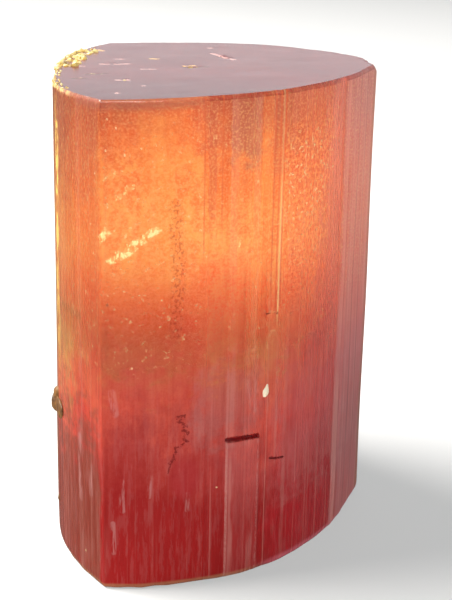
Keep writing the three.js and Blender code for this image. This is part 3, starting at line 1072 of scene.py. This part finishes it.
def lay_specks(look, along, up, place):
    """Painted glints and glow of inclusions: pebbly stretch beside painted mauve sheen, scattered sparkles,
    veils.
    """
    g = look.g
    coarse = g.stretched_noise(place, 1.5, 1.7, 4.0, 0.75)
    shaking = g.vector(g.noise(place, 5.0, 2.0, 0.6), g.noise(place, 4.0, 2.0, 0.6))
    shaken = g.vector_math("ADD", place, g.vector_math("MULTIPLY", shaking, (SHAKE, SHAKE, 0.0)))
    unsteady = g.vector_math("SUBTRACT", shaken, (SHAKE / 2, SHAKE / 2, 0.0))
    large = g.flecks(shaken, 2.6, 0.20, 0.4)
    small = g.flecks(shaken, 5.0, 0.30, 0.5)
    clumps = g.rise(coarse, 0.48, 0.60)
    dark = g.noise(place, 4.4, 2.0, 0.6)

    leaning = g.add(along, g.times(g.less(up, PEBBLY["from"]), PEBBLY["lean"]))
    ragged = g.add(leaning, g.times(g.less(coarse, 0.5), 6.0))
    foot = g.add(up, g.times(g.less(coarse, 0.5), 7.0))
    start, end = PEBBLY["along"]
    across = g.times(g.rise(along, start, start + 0.5), g.rise(ragged, end + 0.6, end - 0.6))
    pebbly = g.times(across, g.between(foot, *PEBBLY["up"], 2.0))
    beyond = g.rise(ragged, end - 0.6, end + 0.6)
    # Painted sheen: mauve beyond the pebbly stretch.
    mauve = g.times(beyond, g.times(g.rise(along, 13.0, 14.0), g.rise(along, 19.3, 19.0)))
    mauve = g.times(mauve, g.rise(up, 13.0, 18.0))
    look.lay(g.times(mauve, 0.55), (0.70, 0.22, 0.17), 0.35)
    look.darken(g.times(pebbly, g.times(g.rise(dark, 0.48, 0.38), 0.6)), (0.84, 0.46, 0.40))
    # Painted glints on the pebbly stretch.
    look.lay(g.times(pebbly, g.times(g.rise(dark, 0.53, 0.62), 0.5)), (1.0, 0.72, 0.26), 0.05)
    dense = g.add(0.35, g.times(g.between(up, 26.0, 31.0, 3.0), 0.65))
    look.lay(g.times(pebbly, small, dense), (1.0, 0.84, 0.42), 0.8)

    # Painted glints of scattered sparkles and of the low veil, and its painted glow.
    scattered = g.times(g.between(along, -6.0, 13.0, 2.0), g.between(up, 16.5, 32.5, 3.0))
    low_veil = near_path(g, unsteady, LOW_VEIL, 0.7)
    shine = g.times(g.any_of([large, small]), clumps, g.any_of([scattered, low_veil]))
    look.lay(g.times(shine, 0.6), (1.0, 0.86, 0.40), 0.6)
    look.lay(g.times(low_veil, clumps, 0.35), (1.0, 0.55, 0.20), 0.1)

    # Painted glow on the veils, with painted glints where they are brightest.
    feathers = g.stretched_noise(place, 3.0, 2.2, 4.0, 0.7)
    veils = g.any_of([g.times(near_path(g, unsteady, path, width), shown) for path, width, shown in VEILS])
    look.lay(g.times(veils, g.rise(feathers, 0.40, 0.50)), (1.0, 0.86, 0.30), 0.2)
    look.lay(g.times(veils, g.rise(feathers, 0.50, 0.58)), (1.0, 0.88, 0.38), 0.9)


# Scratches, grains and pits of the cut end: their two ends in millimetres from the middle, and their width.
END_MARKS = {
    "pale": [
        ((-8.36, 1.45), (-7.78, 1.41), 0.2),
        ((-7.21, 1.37), (-6.27, 1.32), 0.24),
        ((-7.43, 3.96), (-6.91, 3.93), 0.2),
        ((-10.18, 0.57), (-9.37, 0.28), 0.2),
        ((-5.24, -1.36), (-4.13, -1.43), 0.16),
        ((-6.51, -5.99), (-5.8, -5.86), 0.22),
        ((-0.39, 6.51), (1.24, 2.99), 0.26),
        ((-4.65, -8.53), (-4.6, -8.45), 0.2),
        ((-6.06, -11.3), (-6.0, -11.2), 0.22),
        ((-0.65, 9.73), (-0.5, 9.7), 0.26),
    ],
    "dark": [
        ((-9.42, -5.19), (-8.75, -5.23), 0.3),
        ((-8.75, -3.48), (-7.57, -3.11), 0.24),
        ((-2.24, -0.16), (-1.95, -0.42), 0.32),
        ((-1.95, -0.42), (-0.69, -0.4), 0.2),
    ],
    "gold": [
        ((-9.34, 9.12), (-8.82, 8.5), 0.3),
        ((-4.77, 3.79), (-4.4, 3.66), 0.3),
        ((-2.3, 0.1), (-1.6, 0.2), 0.2),
    ],
}
END_TONES = {"pale": (0.90, 0.52, 0.46), "dark": (0.16, 0.05, 0.02), "gold": (1.0, 0.62, 0.20)}


def end_look(g, place, solid):
    """The cut ends: dull mauve with faint clouds and lines, scratches and grains."""
    clouds = g.solid_noise(solid, 260.0, 5.0, 0.6)
    look = Look(g, g.mix(g.rise(clouds, 0.35, 0.7), (0.29, 0.055, 0.085), (0.36, 0.09, 0.115)), 0.2)
    drawn = g.stretched_noise(place, 0.5, 3.0, 4.0, 0.65)
    look.lay(g.times(g.rise(drawn, 0.5, 0.7), 0.35), (0.46, 0.13, 0.14), 0.4)
    specks = g.noise(place, 5.0, 3.0, 0.7)
    look.lay(g.times(g.rise(specks, 0.62, 0.72), 0.5), (0.80, 0.42, 0.40), 0.6)
    rough = g.less(g.noise(place, 3.5, 3.0, 0.7), 0.5)
    moved = g.vector(g.times(rough, 0.4), g.less(g.times(rough, -0.5), TOP_SHEET))
    wandering = g.vector_math("ADD", place, moved)
    for tone, marks in END_MARKS.items():
        shown = 0.0
        for start, end, width in marks:
            shown = g.math("MAXIMUM", shown, near_path(g, wandering, [start, end], width))
        look.lay(g.times(shown, g.rise(specks, 0.36, 0.5)), END_TONES[tone], 0.8)
    return look


# The stone: its index of refraction, its gloss, its bumps and how it absorbs light.
STONE_IOR = 1.63
STONE_GLOSS = 0.14
STONE_BUMP = {"Strength": 0.4, "Distance": 0.04 * MM}
ABSORPTION = {"Color": (1.0, 0.52, 0.30, 1.0), "Density": 34.0}


def tourmaline():
    """Clear, cloudy tourmaline, orange to crimson: partly its own zoning, partly painted light."""
    g = Graph(bpy.data.materials.new("elbaite tourmaline"))
    along, up, place = surface_places(g)
    is_end = g.rise(g.math("ABSOLUTE", g.less(up, HEIGHT / 2)), TOP_SHEET / 2, TOP_SHEET / 2 + 1)
    is_side = g.less(1.0, is_end)
    is_base = g.rise(up, BASE_SHEET / 2, BASE_SHEET / 2 - 1)
    solid = g.node("ShaderNodeTexCoord").outputs["Object"]
    look = zoned_look(g, along, up, place)
    lay_patches(look, along, up, place)
    lay_mottle(look, along, up, place)
    lay_dust(look, up, place)
    lay_lines(look, along, place)
    lay_edges(look, along, up, place)
    lay_front_marks(look, along, up, place)
    lay_specks(look, along, up, place)
    end = end_look(g, place, solid)
    colour = g.mix(is_end, look.colour, end.colour)
    milk = g.blend(is_end, look.milk, end.milk)

    streaks = g.stretched_noise(place, 3.0, 0.001, 2.0, 0.6)
    lines = g.times(streaks, is_side, g.curve(along, LINE_STRENGTH))
    rough = g.add(0.24, g.add(g.times(lines, 0.2), g.times(is_base, 0.4)))
    grain = g.solid_noise(solid, 1500.0, 1.0, 0.6)
    pits = g.times(g.stretched_noise(place, 1.0, 0.7, 2.0, 0.7, 4.5), is_side)
    height = g.add(g.times(grain, 0.2), g.add(g.times(pits, 0.3), g.times(lines, 0.6)))
    bump = g.node("ShaderNodeBump", inputs={**STONE_BUMP, "Height": height})

    shader = g.node("ShaderNodeBsdfPrincipled", inputs={
        "Base Color": colour,
        "Roughness": rough,
        "IOR": STONE_IOR,
        "Transmission Weight": g.less(1.0, milk),
        "Specular IOR Level": STONE_GLOSS,
        "Normal": bump.outputs[0],
    })
    inside = g.node("ShaderNodeVolumeAbsorption", inputs=ABSORPTION)
    return g.finish(shader.outputs[0], inside.outputs[0])


# Crusts: name, two colours, the colour of their dark patches, how clear and how rough they are.
RUST = ("rusty crust", (0.13, 0.048, 0.009), (0.32, 0.135, 0.022), (0.06, 0.045, 0.012), 0.1, 0.4)
GOLD = ("golden crust", (0.90, 0.58, 0.12), (1.0, 0.86, 0.40), (0.40, 0.22, 0.04), 0.2, 0.2)
CREAM = ("cream grain", (0.86, 0.70, 0.48), (0.95, 0.84, 0.64), (0.75, 0.52, 0.33), 0.0, 0.5)
CRUST_IOR = 1.6
CRUST_BUMP = {"Strength": 0.7, "Distance": 0.05 * MM}


def crust_material(name, low, high, dark, clear, rough):
    """A grainy crust of two colours with dark patches."""
    g = Graph(bpy.data.materials.new(name))
    solid = g.node("ShaderNodeTexCoord").outputs["Object"]
    grain = g.solid_noise(solid, 1400.0, 5.0, 0.65)
    patches = g.solid_noise(solid, 620.0, 4.0, 0.6)
    colour = g.mix(g.rise(grain, 0.35, 0.65), low, high)
    colour = g.mix(g.times(g.rise(patches, 0.52, 0.66), 0.85), colour, dark)
    bump = g.node("ShaderNodeBump", inputs={**CRUST_BUMP, "Height": grain})
    shader = g.node("ShaderNodeBsdfPrincipled", inputs={
        "Base Color": colour,
        "Roughness": g.add(rough, g.times(grain, 0.2)),
        "Transmission Weight": clear,
        "IOR": CRUST_IOR,
        "Normal": bump.outputs[0],
    })
    return g.finish(shader.outputs[0])


# Stage

FLOOR_HALF = 3.0
FLOOR_GAP = 0.02 * MM


def plain_material(name, colour, roughness):
    g = Graph(bpy.data.materials.new(name))
    shader = g.node("ShaderNodeBsdfPrincipled", inputs={"Base Color": (*colour, 1.0), "Roughness": roughness})
    return g.finish(shader.outputs[0])


def floor():
    mesh = bpy.data.meshes.new("floor")
    turns = [(-1, -1), (1, -1), (1, 1), (-1, 1)]
    corners = [(x * FLOOR_HALF, y * FLOOR_HALF, -FLOOR_GAP) for x, y in turns]
    mesh.from_pydata(corners, [], [(0, 1, 2, 3)])
    made = bpy.data.objects.new("floor", mesh)
    bpy.context.scene.collection.objects.link(made)
    made.data.materials.append(plain_material("white paper", (0.86, 0.86, 0.855), 0.7))
    made.visible_glossy = False


# The room: brightness overhead, and of the backdrop behind the crystal. Below the floor's level only
# reflections look past the floor. They find it dim, but brighter behind on the right, towards the horizon.
ROOM_LIGHT = 0.30
BACKDROP = 1.0
ROOM_SHADE = 0.14
ROOM_SHEEN = 0.75
ROOM_COLOUR = (0.96, 0.985, 1.0)


def world():
    made = bpy.data.worlds.new("bright room")
    g = Graph(made)
    direction = g.parts(g.node("ShaderNodeTexCoord").outputs["Generated"])
    below = g.rise(direction["Z"], 0.0, -0.08)
    right = g.rise(direction["X"], 0.3, 0.7)
    behind = g.rise(direction["Y"], 0.15, 0.6)
    nearly = g.rise(direction["Z"], -0.46, -0.2)
    sheen = g.times(right, behind, nearly)
    low = g.add(g.times(sheen, ROOM_SHEEN - ROOM_SHADE), ROOM_SHADE)
    wall = g.times(g.rise(direction["Y"], -0.1, 0.6), g.rise(direction["Z"], 0.7, 0.4))
    high = g.add(g.times(wall, BACKDROP - ROOM_LIGHT), ROOM_LIGHT)
    strength = g.add(g.times(low, below), g.times(high, g.less(1.0, below)))
    light = g.node("ShaderNodeBackground", inputs={"Color": (*ROOM_COLOUR, 1.0), "Strength": strength})
    g.node("ShaderNodeOutputWorld", inputs={"Surface": light.outputs[0]})
    bpy.context.scene.world = made


# Lights: place and size in metres, power in watts and colour. The window stands on the left, the lamp in
# front. Both face the lower half of the crystal.
LIGHTS = {
    "window": ((-0.30, 0.07, 0.40), 0.34, 4.2, (1.0, 0.97, 0.93)),
    "lamp": ((0.0, -0.46, 0.38), 0.20, 1.2, (1.0, 0.98, 0.96)),
}
LIGHT_TARGET = Vector((0, 0, 0.012))


def area_light(name, place, size, power, colour):
    light = bpy.data.lights.new(name, "AREA")
    light.shape = "DISK"
    light.size = size
    light.energy = power
    light.color = colour
    made = bpy.data.objects.new(name, light)
    made.location = place
    made.rotation_euler = (LIGHT_TARGET - Vector(place)).to_track_quat("-Z", "Y").to_euler()
    bpy.context.scene.collection.objects.link(made)


# Camera: the photograph's, solved from the crystal's outline, in millimetres and degrees.
FOCAL_PIXELS = 1156.1
PHOTO_HEIGHT = 600
SENSOR = 36.0
CAMERA_PLACE = np.array([0.0, -81.62, 46.73])
PITCH = math.radians(20.27)
YAW = math.radians(0.654)
ROLL = math.radians(-1.25)


def camera():
    data = bpy.data.cameras.new("camera")
    data.sensor_fit = "VERTICAL"
    data.sensor_height = SENSOR
    data.lens = FOCAL_PIXELS / PHOTO_HEIGHT * SENSOR
    data.clip_start = 0.001
    data.clip_end = 100.0
    ahead = Vector((math.sin(YAW) * math.cos(PITCH), math.cos(YAW) * math.cos(PITCH), -math.sin(PITCH)))
    right = ahead.cross(Vector((0, 0, 1))).normalized()
    down = ahead.cross(right)
    rolled_right = math.cos(ROLL) * right + math.sin(ROLL) * down
    rolled_down = math.cos(ROLL) * down - math.sin(ROLL) * right
    turn = Matrix((rolled_right, -rolled_down, -ahead)).transposed()
    made = bpy.data.objects.new("camera", data)
    place = Vector(CAMERA_PLACE - np.append(MIDDLE, 0)) * MM
    made.matrix_world = Matrix.Translation(place) @ turn.to_4x4()
    bpy.context.scene.collection.objects.link(made)
    bpy.context.scene.camera = made


def build():
    body = add_piece("crystal_body", crystal_mesh(), tourmaline())
    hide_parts("crystal")
    body.visible_diffuse = False

    rust = crust_material(*RUST)
    gold = crust_material(*GOLD)
    cream = crust_material(*CREAM)
    lump = add_piece("rust_lump", side_knob("rust_lump", LUMP, 0.16, 11), rust)
    merge_shells(lump, LUMP_VOXEL)
    add_piece("foot_knob", side_knob("foot_knob", [FOOT_KNOB], 0.2, 15), rust)
    add_piece("cream_grain", side_knob("cream_grain", [GRAIN], 0.1, 21, taper=0.9), cream)
    random = np.random.default_rng(33)
    crumbs = [rim_crumb(random, crust) for crust in RIM_CRUSTS for _ in range(crust["count"])]
    add_piece("rim_crust", joined_mesh("rim_crust", crumbs + pit_crumbs(random)), gold, flat=True)


build()
floor()
world()
for name, values in LIGHTS.items():
    area_light(name, *values)
camera()
bpy.context.scene.view_settings.view_transform = "Standard"
